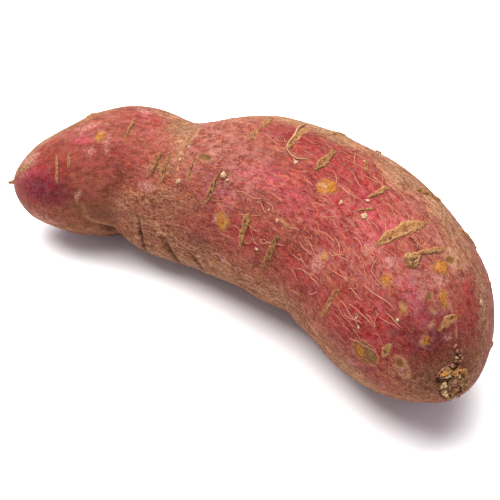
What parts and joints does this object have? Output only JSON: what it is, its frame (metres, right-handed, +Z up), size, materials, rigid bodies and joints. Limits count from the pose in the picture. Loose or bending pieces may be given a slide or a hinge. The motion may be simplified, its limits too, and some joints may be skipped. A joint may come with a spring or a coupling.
{
  "type": "japanese sweet potato",
  "caption": "Whole raw sweet potato with red-purple skin, a curved body narrowed at the waist, corky lenticels and a woody stem scar, flattened where it lies",
  "frame": {"origin": "middle of the root's outline seen from above, on the table it lies on", "axes": "+X from the far tip to the stem end, +Z up, the hollow side of the curve faces -Y"},
  "size_m": [0.1918, 0.0762, 0.0621],
  "materials": {
    "skin": "matt thin root skin, crimson to purple with tan russet and ochre scabs",
    "cork": "dry rough cork of the stem scar and rootlets"
  },
  "bodies": {
    "root": {"sweet_potato": "skin"}
  },
  "joints": []
}
